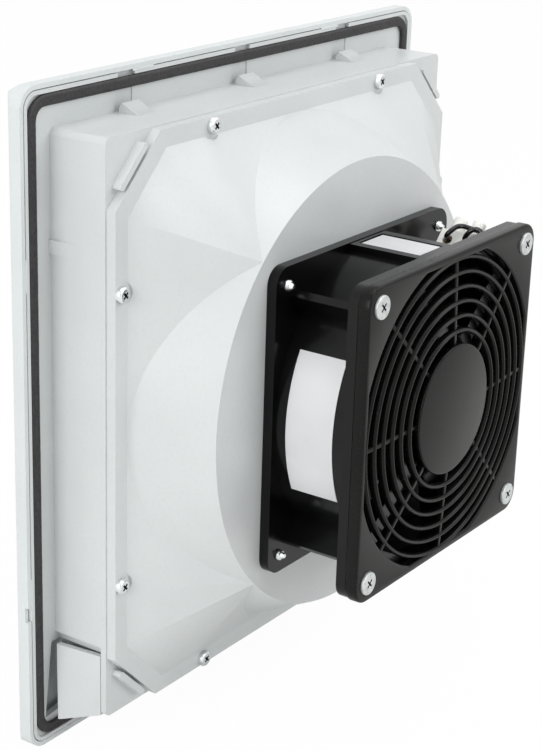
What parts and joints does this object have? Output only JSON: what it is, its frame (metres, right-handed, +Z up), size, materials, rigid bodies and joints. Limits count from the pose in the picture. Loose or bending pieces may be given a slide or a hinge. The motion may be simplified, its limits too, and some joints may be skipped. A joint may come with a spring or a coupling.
{
  "type": "enclosure filter fan",
  "caption": "Square louvred panel frame with a filter mat, a raised tapering cover plate and an axial fan behind a ringed guard, fitted through a cut-out in an enclosure wall.",
  "frame": {"origin": "Centre of the panel cut-out on the flange's sealing plane, the flange's rear face.", "axes": "+Y is the way the fan goes into the enclosure, from the louvred front to the finger guard; +Z is up with the louvres horizontal and the panel hooks on top; +X completes the right-handed frame."},
  "size_m": [0.25, 0.1093, 0.25],
  "materials": {
    "cover_plastic": "light grey, fine moulded grain",
    "frame_plastic": "light grey, satin moulded",
    "filter_fibre": "white bonded fibre",
    "foam_rubber": "dark foamed sealing compound",
    "plated_screws": "bright nickel plating",
    "black_paint": "black satin powder coat on die-cast metal",
    "guard_plastic": "charcoal moulded",
    "fan_plastic": "black moulded",
    "lamination_steel": "stacked sheet edges",
    "cast_aluminium": "as cast",
    "bright_steel": "ground",
    "spring_steel": "blued",
    "brass": "machined",
    "enamelled_copper": "enamelled copper wire",
    "bare_copper": "bare copper",
    "label_film": "bare satin film",
    "terminal_plastic": "warm white moulded",
    "lead_insulation": "black glossy insulation"
  },
  "bodies": {
    "frame": {"base_frame": "frame_plastic", "filter_mat": "filter_fibre", "sealing_gasket": "foam_rubber", "fan_cover": "frame_plastic", "cover_screws": "plated_screws", "fan_frame": "black_paint", "fan_mount_screws": "plated_screws", "finger_guard": "guard_plastic", "guard_screws": "plated_screws", "bearing_outer_rings": "bright_steel", "preload_washer": "spring_steel", "bearing_cap": "fan_plastic", "stator_core": "lamination_steel", "stator_windings": "enamelled_copper", "shading_rings": "bare_copper", "rating_label": "label_film", "pad_label": "label_film", "terminal_block": "terminal_plastic", "terminal_inserts": "brass", "terminal_screws": "plated_screws", "block_screw": "plated_screws", "lead_one": "lead_insulation", "lead_two": "lead_insulation"},
    "cover": {"front_cover": "cover_plastic"},
    "latch_right": {"corner_latch_right": "frame_plastic"},
    "latch_left": {"corner_latch_left": "frame_plastic"},
    "rotor": {"impeller": "fan_plastic", "rotor_core": "lamination_steel", "rotor_cage": "cast_aluminium", "shaft": "bright_steel", "bearing_inner_rings": "bright_steel", "bearing_balls": "bright_steel", "shim_washer": "brass", "retaining_clip": "spring_steel"}
  },
  "joints": [
    {"name": "impeller_spin", "type": "hinge", "parent": "frame", "child": "rotor", "pos_m": [0, 0.076, 0], "axis": [0, 1, 0], "continuous": true},
    {"name": "cover_release", "type": "slide", "parent": "frame", "child": "cover", "axis": [0, -1, 0], "range_m": [0, 0.06]},
    {"name": "latch_right_flex", "type": "hinge", "parent": "frame", "child": "latch_right", "pos_m": [0.09673, 0.0218, -0.09673], "axis": [-0.7071, 0, -0.7071], "range_deg": [0, 10], "stiffness_Nm_per_rad": 0.5},
    {"name": "latch_left_flex", "type": "hinge", "parent": "frame", "child": "latch_left", "pos_m": [-0.09673, 0.0218, -0.09673], "axis": [-0.7071, 0, 0.7071], "range_deg": [0, 10], "stiffness_Nm_per_rad": 0.5}
  ]
}
